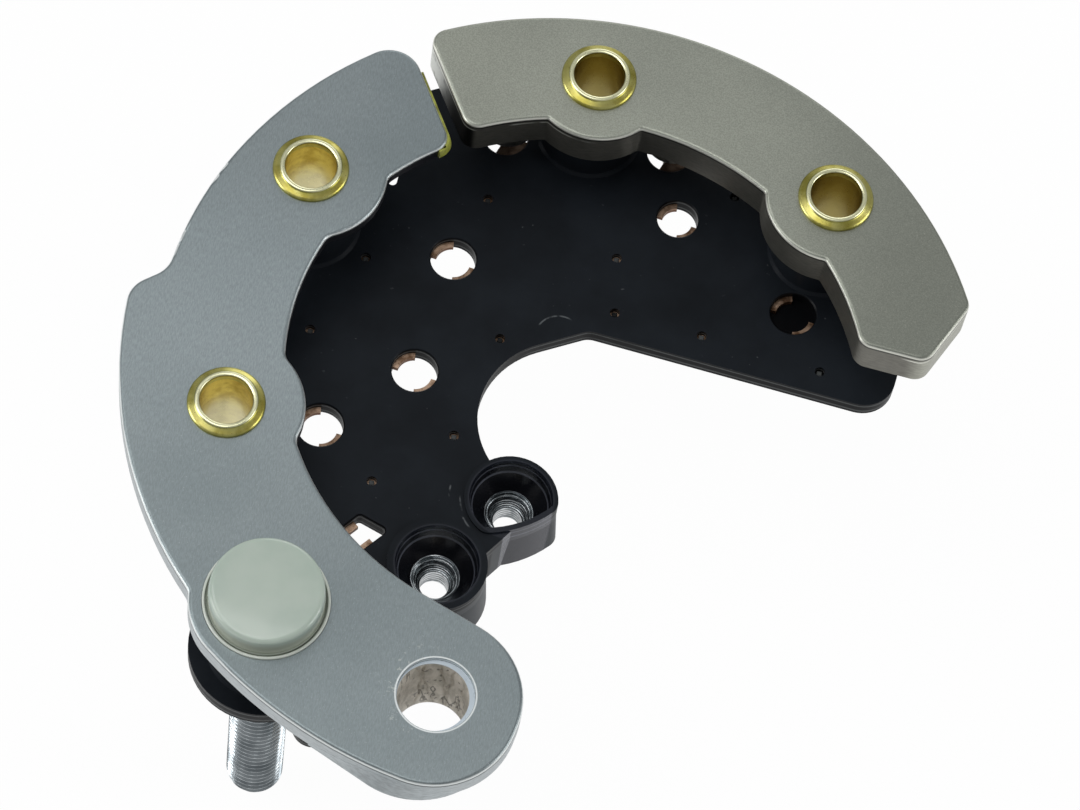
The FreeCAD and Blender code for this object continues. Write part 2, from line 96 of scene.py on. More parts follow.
# Meshes
def meshPiece(name, points, faces, finish, crease=38.0):
    mesh = bpy.data.meshes.new(name)
    mesh.from_pydata(points.tolist(), [], faces.tolist())
    work = bmesh.new()
    work.from_mesh(mesh)
    bmesh.ops.remove_doubles(work, verts=work.verts, dist=1e-7)
    bmesh.ops.dissolve_degenerate(work, edges=work.edges, dist=1e-8)
    bmesh.ops.recalc_face_normals(work, faces=work.faces)
    work.to_mesh(mesh)
    work.free()
    mesh.shade_smooth()
    mesh.set_sharp_from_angle(angle=math.radians(crease))
    mesh.materials.append(finish)
    piece = bpy.data.objects.new(name, mesh)
    bpy.context.scene.collection.objects.link(piece)
    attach(piece, "root")
    return piece


def gridFaces(rows, columns, wrapRows, wrapColumns):
    # quads between neighbours of a rows x columns grid, closed round where asked
    i = np.arange(rows if wrapRows else rows - 1)
    j = np.arange(columns if wrapColumns else columns - 1)
    a, b = np.meshgrid(i, j, indexing="ij")
    nextA, nextB = (a + 1) % rows, (b + 1) % columns
    corners = [a * columns + b, nextA * columns + b, nextA * columns + nextB, a * columns + nextB]
    return np.stack(corners, axis=-1).reshape(-1, 4)


def gridPiece(name, grid, finish, wrapRows=True, wrapColumns=True, crease=38.0):
    rows, columns = grid.shape[:2]
    faces = gridFaces(rows, columns, wrapRows, wrapColumns)
    return meshPiece(name, toPart(grid.reshape(-1, 3)), faces, finish, crease)


def softCorners(corners, steps=7):
    # each corner (r, z, radius) gives way to a parabola between points a radius before and after it
    path = []
    count = len(corners)
    for k in range(count):
        before, here, after = (np.array(corners[(k + d) % count][:2], float) for d in (-1, 0, 1))
        radius = corners[k][2]
        if radius == 0:
            path.append(here[None, :])
            continue
        start = here + (before - here) * min(0.5, radius / np.linalg.norm(before - here))
        end = here + (after - here) * min(0.5, radius / np.linalg.norm(after - here))
        t = np.linspace(0.0, 1.0, steps)[:, None]
        path.append((1 - t) ** 2 * start + 2 * t * (1 - t) * here + t ** 2 * end)
    return np.concatenate(path)


def lathe(centre, profile, turns=120):
    # point = centre + radius at the given angle, height straight from the profile
    angle = np.linspace(0.0, 2 * math.pi, turns, endpoint=False)[:, None]
    radius, height = profile[:, 0][None, :], profile[:, 1][None, :]
    x = centre[0] + radius * np.cos(angle)
    y = centre[1] + radius * np.sin(angle)
    return np.stack([x, y, height + 0 * angle], axis=-1)


# Shader maths
class Wire:
    # one socket of a material's tree; maths on it adds Math nodes
    def __init__(self, finish, socket):
        self.finish, self.socket = finish, socket

    def math(self, operation, *others):
        return self.finish.node("ShaderNodeMath", {"operation": operation},
                                dict(enumerate((self,) + others)))

    def __add__(self, other):
        return self.math("ADD", other)

    def __sub__(self, other):
        return self.math("SUBTRACT", other)

    def __rsub__(self, other):
        return self.finish.node("ShaderNodeMath", {"operation": "SUBTRACT"}, {0: other, 1: self})

    def __mul__(self, other):
        return self.math("MULTIPLY", other)

    def __truediv__(self, other):
        return self.math("DIVIDE", other)

    __radd__ = __add__
    __rmul__ = __mul__

    def between(self, low, high):
        # 0 below low, 1 above high, smooth in between
        return self.finish.node("ShaderNodeMapRange", {"interpolation_type": "SMOOTHSTEP"},
                                {"Value": self, "From Min": low, "From Max": high})


class Finish:
    def __init__(self, name):
        self.material = bpy.data.materials.new(name)
        self.material.use_nodes = True
        self.tree = self.material.node_tree
        self.tree.nodes.clear()
        self.shader = self.tree.nodes.new("ShaderNodeBsdfPrincipled")
        output = self.tree.nodes.new("ShaderNodeOutputMaterial")
        self.tree.links.new(self.shader.outputs[0], output.inputs["Surface"])
        self.place = self.node("ShaderNodeTexCoord", {}, {}, "Object")

    def fill(self, owner, sockets):
        for key, value in sockets.items():
            if isinstance(value, Wire):
                self.tree.links.new(value.socket, owner.inputs[key])
            else:
                owner.inputs[key].default_value = value

    def node(self, kind, settings, sockets, output=0):
        made = self.tree.nodes.new(kind)
        for key, value in settings.items():
            setattr(made, key, value)
        self.fill(made, sockets)
        return Wire(self, made.outputs[output])

    def stretched(self, x, y, z):
        return self.node("ShaderNodeMapping", {}, {"Vector": self.place, "Scale": (x, y, z)})

    def noise(self, scale, detail=2.0, roughness=0.5, where=None):
        return self.node("ShaderNodeTexNoise", {}, {"Vector": where or self.place, "Scale": scale,
                                                    "Detail": detail, "Roughness": roughness})

    def mix(self, share, low, high):
        return self.node("ShaderNodeMix", {"data_type": "RGBA"}, {0: share, 6: low, 7: high}, 2)

    def part(self, axis):
        return self.node("ShaderNodeSeparateXYZ", {}, {0: self.place}, axis)

    def bump(self, height, strength, distance):
        return self.node("ShaderNodeBump", {}, {"Height": height, "Strength": strength, "Distance": distance})

    def surface(self, **sockets):
        self.fill(self.shader, {key.replace("_", " "): value for key, value in sockets.items()})
        return self.material


def shade(red, green, blue):
    # an 8-bit screen colour as the linear colour that Blender takes
    parts = [(value / 255.0 + 0.055) / 1.055 for value in (red, green, blue)]
    return tuple(value ** 2.4 for value in parts) + (1.0,)


# Finishes
plateLook = {"cool": (148, 157, 159), "sheen": (172, 182, 185), "coolDeep": (136, 146, 148),
             "fleck": (186, 193, 192), "edge": (232, 236, 235), "under": (84, 90, 92),
             "wall": (196, 202, 204), "inside": (64, 64, 70), "pit": (186, 190, 186),
             "insideRadius": 46.0, "holeEdge": 5.25}
edgeLine = {"top": -0.10, "low": -0.40, "dark": -0.62, "wallTop": -1.0}


def plateHeight(finish):
    # height under the plates' top faces, in millimetres
    return finish.part(2) / mm - rotorAxis[2]


def across(finish, axis):
    # x or y from the rotor axis, in millimetres
    return finish.part(axis) / mm - rotorAxis[axis]


def distanceTo(finish, place=(0.0, 0.0)):
    # distance from an upright line at x, y, which is the rotor axis if not given
    x, y = across(finish, 0) - place[0], across(finish, 1) - place[1]
    return (x * x + y * y).math("SQRT")


def edgeBands(finish, base, look):
    # painted light and shade: a painted highlight line on the rounded edge over a painted dark line, then the
    # wall, painted lighter on its outer side and painted dark as shade on its inner side
    height = plateHeight(finish) + (finish.noise(160.0, 2.0, 0.5) * 0.16 - 0.08)
    inside = 1 - distanceTo(finish).between(look["insideRadius"] - 1.5, look["insideRadius"] + 1.5)
    wall = finish.mix(inside, shade(*look["wall"]), shade(*look["inside"]))
    streak = finish.noise(1.0, 3.0, 0.6, finish.stretched(900.0, 900.0, 5200.0))
    wall = finish.mix(streak.between(0.35, 0.7) * 0.22, wall, (0.0, 0.0, 0.0, 1.0))
    base = finish.mix(1 - height.between(edgeLine["top"] - 0.12, edgeLine["top"]), base, shade(*look["edge"]))
    base = finish.mix(1 - height.between(edgeLine["dark"], edgeLine["low"]), base, shade(*look["under"]))
    return finish.mix(1 - height.between(edgeLine["wallTop"], edgeLine["dark"]), base, wall)


def groundAluminium(look):
    finish = Finish("groundAluminium")
    grain = finish.noise(1.0, 3.0, 0.65, finish.stretched(7000.0, 1300.0, 3000.0))
    speckle = finish.noise(3800.0, 2.0, 0.7)
    cloud = finish.noise(28.0, 3.0, 0.55)
    base = finish.mix(cloud.between(0.32, 0.68), shade(*look["coolDeep"]), shade(*look["cool"]))
    # painted sheen: a band across the middle of the plate is painted lighter
    fromMiddle = across(finish, 1).math("ABSOLUTE")
    base = finish.mix((1 - fromMiddle.between(4.0, 30.0)) * 0.45, base, shade(*look["sheen"]))
    base = finish.mix(grain.between(0.34, 0.66) * 0.30, base, (0.12, 0.13, 0.135, 1.0))
    base = finish.mix(speckle.between(0.62, 0.74) * 0.45, base, shade(*look["fleck"]))
    earX, earY = finish.part(0) / mm, finish.part(1) / mm
    radius = (earX * earX + earY * earY).math("SQRT")
    ring = (1 - radius.between(6.0, 8.6)) * (1 - earX.between(-4.0, 1.0))
    pits = finish.noise(1500.0, 2.0, 0.6).between(0.60, 0.68) * ring
    base = finish.mix(pits * 0.55, base, shade(*look["pit"]))
    # painted highlight: a bright ring on the ear hole's rounded edge
    rim = 1 - (radius - look["holeEdge"]).math("ABSOLUTE").between(0.05, 0.16)
    base = finish.mix(rim * 0.8, base, shade(*look["edge"]))
    base = edgeBands(finish, base, look)
    rough = finish.noise(800.0, 3.0, 0.6) * 0.10 + 0.36
    relief = grain * 0.6 + speckle * 0.4 - pits * 0.6
    return finish.surface(Base_Color=base, Metallic=0.9, Roughness=rough,
                          Normal=finish.bump(relief, 0.3, 0.00003))


blastLook = {"warm": (172, 175, 163), "warmDeep": (150, 153, 143), "far": (138, 141, 131),
             "fleck": (182, 182, 170), "edge": (226, 226, 216), "under": (54, 54, 50),
             "wall": (186, 186, 174), "inside": (128, 126, 118), "endDark": (44, 44, 42),
             "endLight": (226, 228, 222), "insideRadius": 47.0}
secondLine = {"middle": -1.25, "half": 0.10}


def blastedAluminium(look):
    finish = Finish("blastedAluminium")
    sand = finish.noise(5200.0, 2.0, 0.7)
    cloud = finish.noise(17.0, 2.0, 0.5)
    base = finish.mix(cloud.between(0.36, 0.62), shade(*look["warmDeep"]), shade(*look["warm"]))
    x, y = across(finish, 0), across(finish, 1)
    # painted shade: the plate is painted darker towards its far, right-hand part
    base = finish.mix(x.between(14.0, 46.0) * 0.8, base, shade(*look["far"]))
    base = finish.mix(sand.between(0.34, 0.66) * 0.30, base, (0.09, 0.09, 0.08, 1.0))
    base = finish.mix(finish.noise(4100.0, 1.0, 0.6).between(0.64, 0.76) * 0.4, base, shade(*look["fleck"]))
    base = edgeBands(finish, base, look)
    height = plateHeight(finish)
    # painted shade: the end wall at the gap is painted dark near the rotor axis, lighter in patches further
    # out
    walls = 1 - height.between(edgeLine["wallTop"] - 0.1, edgeLine["wallTop"] + 0.2)
    gapEnd = (y * -0.5 - x * 0.866).between(-1.2, -0.4)
    fromAxis = distanceTo(finish)
    outer = fromAxis.between(44.0, 54.0) * finish.noise(420.0).between(0.2, 0.5)
    endWall = finish.mix(outer, shade(*look["endDark"]), shade(*look["endLight"]))
    base = finish.mix(walls * gapEnd, base, endWall)
    # painted highlight: a second bright line a little below the top edge, where the edge shows doubled
    bulgeLeft = x.between(-15.0, -14.0) * (1 - x.between(-5.0, -2.0)) * (1 - fromAxis.between(45.0, 46.0))
    doubled = gapEnd.math("MAXIMUM", bulgeLeft).math("MAXIMUM", x.between(43.0, 45.0))
    offLine = (height - secondLine["middle"]).math("ABSOLUTE")
    line = 1 - offLine.between(secondLine["half"], secondLine["half"] + 0.08)
    base = finish.mix(line * doubled * finish.noise(300.0).between(0.3, 0.45), base, shade(*look["edge"]))
    rough = finish.noise(900.0, 3.0, 0.6) * 0.12 + 0.38
    return finish.surface(Base_Color=base, Metallic=0.9, Roughness=rough,
                          Normal=finish.bump(sand, 0.22, 0.00003))


boardLook = {"black": (31, 35, 40), "deep": (24, 27, 31), "dust": (96, 98, 100), "foot": (70, 73, 76),
             "edge": (12, 13, 15), "line": (86, 88, 88), "lightArc": (120, 124, 126)}
boardEdge = {"top": -14.5, "lines": ((-15.05, 0.09), (-16.35, 0.12)), "footTop": -15.4}
blindHole = (28.8, 23.4)
wellReach = {"inside": 5.9, "outside": 7.4}
# light arcs on the board's face: centre, radius and the span of y that they keep to, from the rotor axis
upperWell = (-4.85, -13.1)
boardArcs = (((-2.6, 12.9), 3.2, (14.0, 16.6)), (upperWell, 8.4, (-14.4, -12.4)),
              (upperWell, 6.9, (-16.2, -13.6)), (upperWell, 7.1, (-18.4, -16.7)))


def nearWells(finish, reach, soft=0.15):
    # 1 within reach of a well's axis, 0 outside
    upper, lower = [distanceTo(finish, mountPlace(name + "_bush_bore")) for name in ("upper", "lower")]
    return 1 - upper.math("MINIMUM", lower).between(reach - 0.15, reach + soft)


def strokes(finish):
    # thin light arcs drawn on the board's face
    x, y = across(finish, 0), across(finish, 1)
    total = None
    for centre, radius, span in boardArcs:
        line = 1 - (distanceTo(finish, centre) - radius).math("ABSOLUTE").between(0.05, 0.16)
        line = line * y.between(span[0], span[0] + 0.4) * (1 - y.between(span[1] - 0.4, span[1]))
        line = line * (1 - x.between(centre[0] + 0.5, centre[0] + 1.5))
        total = line if total is None else total.math("MAXIMUM", line)
    return total


def mouldedBlack(look):
    finish = Finish("mouldedBlack")
    cloud = finish.noise(70.0, 4.0, 0.6)
    fine = finish.noise(2600.0, 3.0, 0.6)
    height = plateHeight(finish)
    face = height.between(boardEdge["top"] - 0.12, boardEdge["top"] - 0.04)
    base = finish.mix(cloud.between(0.3, 0.7), shade(*look["deep"]), shade(*look["black"]))
    dust = finish.noise(1500.0, 1.0, 0.4).between(0.74, 0.80) * finish.noise(120.0).between(0.45, 0.7)
    base = finish.mix(dust * 0.5, base, shade(*look["dust"]))
    lightArcs = strokes(finish) * face * finish.noise(900.0).between(0.35, 0.6)
    base = finish.mix(lightArcs * 0.5, base, shade(*look["lightArc"]))
    # painted shade: the board's side faces are painted darker than its top face
    base = finish.mix(1 - face, base, shade(*look["edge"]))
    broken = finish.noise(95.0).between(0.25, 0.5) * distanceTo(finish, blindHole).between(4.0, 4.2)
    for middle, half in boardEdge["lines"]:
        line = 1 - (height - middle).math("ABSOLUTE").between(half, half + 0.1)
        base = finish.mix(line * broken, base, shade(*look["line"]))
    # painted light: the lower walls round the wells are painted a lighter grey
    wellWall = nearWells(finish, wellReach["outside"], 0.4) * (1 - nearWells(finish, wellReach["inside"]))
    foot = (1 - height.between(boardEdge["footTop"] - 0.9, boardEdge["footTop"])) * wellWall
    base = finish.mix(foot * (cloud * 0.4 + 0.7), base, shade(*look["foot"]))
    bowl = nearWells(finish, wellReach["inside"])
    rough = cloud * 0.14 + fine * 0.08 + 0.24
    return finish.surface(Base_Color=base, Metallic=0.0, Roughness=rough, Specular_IOR_Level=0.08,
                          Coat_Weight=bowl * 0.85, Coat_Roughness=0.16, Coat_Tint=(0.80, 0.82, 1.0, 1.0),
                          Normal=finish.bump(fine, 0.12, 0.00003))


brassLook = {"rim": (204, 198, 122), "rimDeep": (168, 160, 78), "lip": (240, 238, 196),
             "bore": (236, 216, 118), "boreDeep": (190, 164, 66), "tin": (236, 232, 198),
             "shaded": (150, 132, 54)}


def rolledBrass(look):
    # amber inside the bore, paler and greener on the rolled rim; the negative plate's bores are painted
    # darker as shade
    finish = Finish("rolledBrass")
    tone = finish.noise(300.0, 3.0, 0.6)
    fine = finish.noise(3600.0, 2.0, 0.6)
    height = plateHeight(finish)
    rim = finish.mix(tone.between(0.35, 0.65), shade(*look["rim"]), shade(*look["rimDeep"]))
    # painted highlight: the top of the lip is painted as a bright ring
    rim = finish.mix(height.between(0.92, 1.04), rim, shade(*look["lip"]))
    bore = finish.mix(tone.between(0.35, 0.65), shade(*look["bore"]), shade(*look["boreDeep"]))
    bore = finish.mix((1 - height.between(-8.0, -3.0)) * 0.6, bore, shade(*look["tin"]))
    # painted shade: the negative plate's bores are darker
    bore = finish.mix(across(finish, 0).between(-24.0, -20.0) * 0.85, bore, shade(*look["shaded"]))
    upper = height.between(0.45, 0.8)
    base = finish.mix(upper, bore, rim)
    base = finish.mix(height.between(-0.05, 0.02) * (1 - upper), base, rim)
    return finish.surface(Base_Color=base, Metallic=1.0, Roughness=fine * 0.10 + 0.24,
                          Normal=finish.bump(fine, 0.2, 0.00002))


zincLook = {"deep": (132, 139, 143), "pale": (186, 192, 195), "ringHighlight": (228, 232, 234),
            "ringMid": (150, 157, 160), "ringShade": (76, 80, 83), "pitch": 0.62, "reach": 3.6}


def zincSteel(look):
    # plain on the stud; round the bushes' bores, painted highlight rings with painted shade lines between
    # them
    finish = Finish("zincSteel")
    tone = finish.noise(190.0, 2.0, 0.5)
    fine = finish.noise(4200.0, 2.0, 0.6)
    patch = finish.noise(420.0, 3.0, 0.6)
    base = finish.mix(tone.between(0.3, 0.7), shade(*look["deep"]), shade(*look["pale"]))
    wave = (plateHeight(finish) * (2.0 * math.pi / look["pitch"]) + finish.noise(240.0) * 3.0).math("SINE")
    rings = finish.mix(patch.between(0.40, 0.58), shade(*look["ringMid"]), shade(*look["ringHighlight"]))
    rings = finish.mix(wave.between(0.25, 0.75) * patch.between(0.30, 0.44), rings, shade(*look["ringShade"]))
    base = finish.mix(nearWells(finish, look["reach"]), base, rings)
    return finish.surface(Base_Color=base, Metallic=1.0, Roughness=fine * 0.08 + 0.17,
                          Normal=finish.bump(fine, 0.08, 0.00002))


liningLook = {"litTop": (196, 206, 214), "light": (222, 216, 206), "mid": (184, 178, 166),
              "dark": (98, 94, 86)}


def roughCast(look):
    finish = Finish("roughCast")
    rough = finish.noise(1.0, 4.0, 0.65, finish.stretched(620.0, 620.0, 300.0))
    fine = finish.noise(3800.0, 2.0, 0.6)
    pits = finish.noise(760.0, 2.0, 0.6).between(0.63, 0.70)
    wandering = finish.noise(1.0, 3.0, 0.6, finish.stretched(330.0, 330.0, 90.0))
    cracks = 1 - (wandering - 0.5).math("ABSOLUTE").between(0.006, 0.022)
    pits = pits.math("MAXIMUM", cracks * finish.noise(150.0).between(0.42, 0.56))
    base = finish.mix(rough.between(0.36, 0.64), shade(*look["mid"]), shade(*look["light"]))
    base = finish.mix(pits * 0.8, base, shade(*look["dark"]))
    height = plateHeight(finish)
    # painted light: the top band of the bore is painted pale and bluish
    base = finish.mix(height.between(-1.0, -0.75), base, shade(*look["litTop"]))
    return finish.surface(Base_Color=base, Metallic=0.25, Roughness=rough * 0.2 + 0.5,
                          Normal=finish.bump(rough * 0.6 + fine * 0.4 - pits, 0.5, 0.0001))


capLook = {"top": (168, 181, 170), "cloud": (178, 189, 178), "side": (158, 164, 148), "lip": (206, 213, 202),
           "groove": (134, 142, 128)}


def milkyPlastic(look):
    finish = Finish("milkyPlastic")
    cloud = finish.noise(150.0, 3.0, 0.5)
    fine = finish.noise(2400.0, 2.0, 0.5)
    height = plateHeight(finish)
    base = finish.mix(cloud.between(0.3, 0.7), shade(*look["top"]), shade(*look["cloud"]))
    base = finish.mix(1 - height.between(1.6, 3.1), base, shade(*look["side"]))
    base = finish.mix(1 - height.between(0.30, 0.45), base, shade(*look["lip"]))
    # painted shade: the groove between the cap and its ring is darker
    base = finish.mix(1 - height.between(-0.1, 0.05), base, shade(*look["groove"]))
    return finish.surface(Base_Color=base, Metallic=0.0, Roughness=fine * 0.08 + 0.16, IOR=1.49,
                          Coat_Weight=0.5, Coat_Roughness=0.06,
                          Subsurface_Weight=0.25, Subsurface_Scale=0.002, Subsurface_Radius=(0.8, 1.0, 0.8),
                          Normal=finish.bump(fine, 0.05, 0.00002))


filmLook = {"deep": (112, 112, 44), "pale": (164, 168, 74)}


def oliveFilm(look):
    finish = Finish("oliveFilm")
    cloud = finish.noise(420.0, 3.0, 0.6)
    base = finish.mix(cloud.between(0.3, 0.7), shade(*look["deep"]), shade(*look["pale"]))
    return finish.surface(Base_Color=base, Metallic=0.0, Roughness=cloud * 0.15 + 0.22,
                          Normal=finish.bump(cloud, 0.2, 0.00005))


copperLook = {"deep": (112, 84, 62), "pale": (190, 160, 136), "cut": (120, 84, 60), "shaded": (20, 18, 18),
              "faceLow": -15.6}


def tinnedCopper(look):
    # brown on its cut edges, and dark where it lies in the shade of the negative plate
    finish = Finish("tinnedCopper")
    tone = finish.noise(700.0, 3.0, 0.6)
    base = finish.mix(tone.between(0.35, 0.65), shade(*look["deep"]), shade(*look["pale"]))
    face = plateHeight(finish).between(look["faceLow"] - 0.15, look["faceLow"])
    base = finish.mix(1 - face, base, shade(*look["cut"]))
    base = finish.mix(across(finish, 1).between(38.0, 39.0) * 0.75, base, shade(*look["shaded"]))
    return finish.surface(Base_Color=base, Metallic=0.8, Roughness=tone * 0.2 + 0.34,
                          Normal=finish.bump(tone, 0.3, 0.00003))


nickelLook = {"deep": (150, 146, 138), "pale": (190, 186, 178)}


def nickelCase(look):
    finish = Finish("nickelCase")
    tone = finish.noise(500.0, 3.0, 0.6)
    base = finish.mix(tone.between(0.35, 0.65), shade(*look["deep"]), shade(*look["pale"]))
    return finish.surface(Base_Color=base, Metallic=1.0, Roughness=tone * 0.15 + 0.28,
                          Normal=finish.bump(tone, 0.2, 0.00003))


finishes = {"positive_plate": groundAluminium(plateLook), "negative_plate": blastedAluminium(blastLook),
            "black_board": mouldedBlack(boardLook), "brass": rolledBrass(brassLook),
            "zinc_steel": zincSteel(zincLook), "ear_lining": roughCast(liningLook),
            "milky_plastic": milkyPlastic(capLook), "olive_film": oliveFilm(filmLook),
            "copper": tinnedCopper(copperLook), "diode_case": nickelCase(nickelLook)}
for subpart in frame["record"]["subparts"]:
    for materialSlot in nodes[subpart["node"]].material_slots:
        materialSlot.material = finishes[subpart["material_slot"]]
print("finishes made:", len(finishes))


# Output stud
stud = {"crest": 3.95, "pitch": 1.25, "depth": 0.767, "shank": 4.6, "threadTop": -17.6, "tip": -58.0,
        "tipRadius": 2.5, "taper": 1.6, "head": 6.4, "headTop": -0.2, "headLow": -2.0, "crestShare": 0.14,
        "flankShare": 0.68, "runOut": 0.8, "rowsPerTurn": 16, "turns": 96}


def threadedStud(look):
    # Radius falls from the crest to the root and back once a pitch, and the phase moves one pitch per turn.
    # At the tip the radius is held under a cone.
    centre = mountPlace("output_stud")
    length = look["threadTop"] - look["tip"]
    rows = int(length / look["pitch"] * look["rowsPerTurn"])
    height = np.linspace(look["threadTop"], look["tip"], rows)[None, :]
    angle = np.linspace(0.0, 2 * math.pi, look["turns"], endpoint=False)[:, None]
    phase = (height / look["pitch"] - angle / (2 * math.pi)) % 1.0
    flank = np.clip((np.abs(phase - 0.5) * 2 - look["crestShare"]) / look["flankShare"], 0.0, 1.0)
    runOut = np.clip((look["threadTop"] - height) / look["runOut"], 0.0, 1.0)
    radius = look["crest"] - look["depth"] * (1 - flank) * runOut
    cone = look["tipRadius"] + (look["crest"] - look["tipRadius"]) * (height - look["tip"]) / look["taper"]
    radius = np.minimum(radius, cone)
    x, y = centre[0] + radius * np.cos(angle), centre[1] + radius * np.sin(angle)
    thread = np.stack([x, y, height + 0 * angle], axis=-1)
    headProfile = softCorners([(0.0, look["headTop"], 0.0), (look["head"], look["headTop"], 0.25),
                               (look["head"], look["headLow"], 0.1), (look["shank"], look["headLow"], 0.0),
                               (look["shank"], look["threadTop"], 0.2),
                               (look["crest"], look["threadTop"], 0.0)], 5)
    above = lathe(centre, headProfile, look["turns"])
    below = lathe(centre, np.array([[0.0, look["tip"]]]), look["turns"])
    grid = np.concatenate([above, thread, below], axis=1)
    piece = gridPiece("threaded_stud", grid, finishes["zinc_steel"], True, False, 28.0)
    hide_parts("output_stud")


threadedStud(stud)
print("stud threaded")


# Hollow rivets
eyelet = {"bore": 3.5, "shank": 4.0, "flange": 5.2, "flangeHigh": 0.42, "slopeTop": 0.86, "lip": 4.25,
          "lipHigh": 1.12, "foot": -17.5, "board": -17.0, "footRadius": 5.0}


def rolledEyelet(look, name):
    corners = [(look["bore"], look["foot"], 0.25), (look["footRadius"], look["foot"], 0.25),
               (look["footRadius"], look["board"], 0.1), (look["shank"], look["board"], 0.0),
               (look["shank"], 0.0, 0.0), (look["flange"], 0.0, 0.1),
               (look["flange"], look["flangeHigh"], 0.36), (look["lip"], look["slopeTop"], 0.12),
               (look["lip"] - 0.12, look["lipHigh"], 0.16), (look["bore"] + 0.02, look["lipHigh"], 0.34)]
    grid = lathe(mountPlace("eyelet_" + name), softCorners(corners), 144)
    piece = gridPiece("rolled_eyelet_" + name, grid, finishes["brass"], crease=60.0)
    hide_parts("rivet_" + name)


for name in ("positive_upper", "positive_lower", "negative_left", "negative_right"):
    rolledEyelet(eyelet, name)
print("eyelets rolled")


# Cap over the stud's head
cap = {"topRadius": 7.5, "foot": 7.72, "top": 3.6, "edge": 0.75, "groove": -0.2, "ring": 8.34,
       "ringInner": 7.98, "ringTop": 0.32, "floor": -2.0, "inside": 6.45, "roof": -0.12}


def domedCap(look):
    corners = [(0.0, look["top"], 0.0), (look["topRadius"], look["top"], look["edge"]),
               (look["foot"], look["groove"], 0.1), (look["ringInner"], look["groove"], 0.05),
               (look["ringInner"], look["ringTop"], 0.12), (look["ring"], look["ringTop"], 0.18),
               (look["ring"], look["floor"], 0.0), (look["inside"], look["floor"], 0.0),
               (look["inside"], look["roof"], 0.0), (0.0, look["roof"], 0.0)]
    grid = lathe(mountPlace("output_stud"), softCorners(corners, 9), 160)
    piece = gridPiece("domed_cap", grid, finishes["milky_plastic"], True, False, 50.0)
    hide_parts("stud_cap")


domedCap(cap)
print("cap made")


# Rough lining of the fixing ear
lining = {"bore": 4.75, "neck": 5.08, "outer": 7.35, "top": -0.6, "plateLow": -3.52, "seat": -13.7,
          "rough": 0.10, "crack": 0.28, "offset": (-0.30, -0.18), "offsetTo": -9.0, "turns": 320,
          "steps": 130}
# cracks down the lining: start angle, lean in degrees a millimetre, depth share and width in degrees
liningCracks = ((62.0, 1.5, 1.0, 2.2), (88.0, -1.2, 0.8, 1.8), (112.0, 0.9, 1.0, 2.0),
                (128.0, -2.6, 0.6, 1.6), (40.0, 1.1, 0.6, 1.5))


def softNoise(seed, rows, columns, rowCells, columnCells):
    # smooth random field: random values on a coarse wrapped lattice, blended by cosine weights
    lattice = np.random.default_rng(seed).uniform(-1.0, 1.0, (rowCells, columnCells + 1))
    i = np.linspace(0, rowCells, rows, endpoint=False)
    j = np.linspace(0, columnCells - 1e-6, columns)
    i0, j0 = np.floor(i).astype(int), np.floor(j).astype(int)
    si = (0.5 - 0.5 * np.cos(math.pi * (i - i0)))[:, None]
    sj = (0.5 - 0.5 * np.cos(math.pi * (j - j0)))[None, :]
    i1, j1 = (i0 + 1) % rowCells, j0 + 1
    near = lattice[np.ix_(i0 % rowCells, j0)] * (1 - sj) + lattice[np.ix_(i0 % rowCells, j1)] * sj
    far = lattice[np.ix_(i1, j0)] * (1 - sj) + lattice[np.ix_(i1, j1)] * sj
    return near * (1 - si) + far * si


def castLining(look):
    # the bore's wall is the cylinder moved in by layers of noise and out along a few cracks
    turns, steps = look["turns"], look["steps"]
    angle = np.linspace(0.0, 2 * math.pi, turns, endpoint=False)[:, None]
    height = np.linspace(look["top"], look["seat"], steps)[None, :]
    relief = (0.5 * softNoise(3, turns, steps, 26, 9) + 0.3 * softNoise(5, turns, steps, 60, 24)
              + 0.2 * softNoise(8, turns, steps, 130, 60))
    crack = np.zeros((turns, steps))
    for start, lean, depth, wide in liningCracks:
        path = np.radians(start + lean * (look["top"] - height) + 2.0 * np.sin(height * 1.3 + start))
        away = (angle - path + math.pi) % (2 * math.pi) - math.pi
        crack += depth * np.exp(-(away / math.radians(wide)) ** 2)
    fade = np.clip((look["top"] - height) / 1.0, 0.0, 1.0) * np.clip((height - look["seat"]) / 0.6, 0.0, 1.0)
    radius = look["bore"] + (look["rough"] * relief + look["crack"] * np.clip(crack, 0, 1)) * fade
    widest = look["neck"] - 0.36 * np.clip((height + 2.0) / 1.4, 0.0, 1.0) - 0.03
    radius = np.clip(radius, look["bore"] - 0.12, widest)
    share = np.clip((height - look["offsetTo"]) / (look["top"] - look["offsetTo"]), 0.0, 1.0)
    x = radius * np.cos(angle) + look["offset"][0] * share
    y = radius * np.sin(angle) + look["offset"][1] * share
    bore = np.stack([x, y, height + 0 * angle], axis=-1)
    profile = np.array([(look["outer"], look["seat"]), (look["outer"], look["plateLow"]),
                        (look["neck"], look["plateLow"]), (look["neck"], look["top"])])
    outside = lathe((0.0, 0.0), profile, turns)
    grid = np.concatenate([bore, outside], axis=1)
    grid[..., :2] += mountPlace("fixing_ear")
    piece = gridPiece("cast_lining", grid, finishes["ear_lining"], crease=60.0)
    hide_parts("ear_sleeve")


castLining(lining)
print("ear lined")


# Bushes in the wells
bush = {"outer": 3.4, "top": -18.5, "low": -24.0, "mouth": 3.18, "steps": 4, "stepWide": 0.30,
        "stepDeep": 0.70, "slope": 0.22, "bore": 1.95}


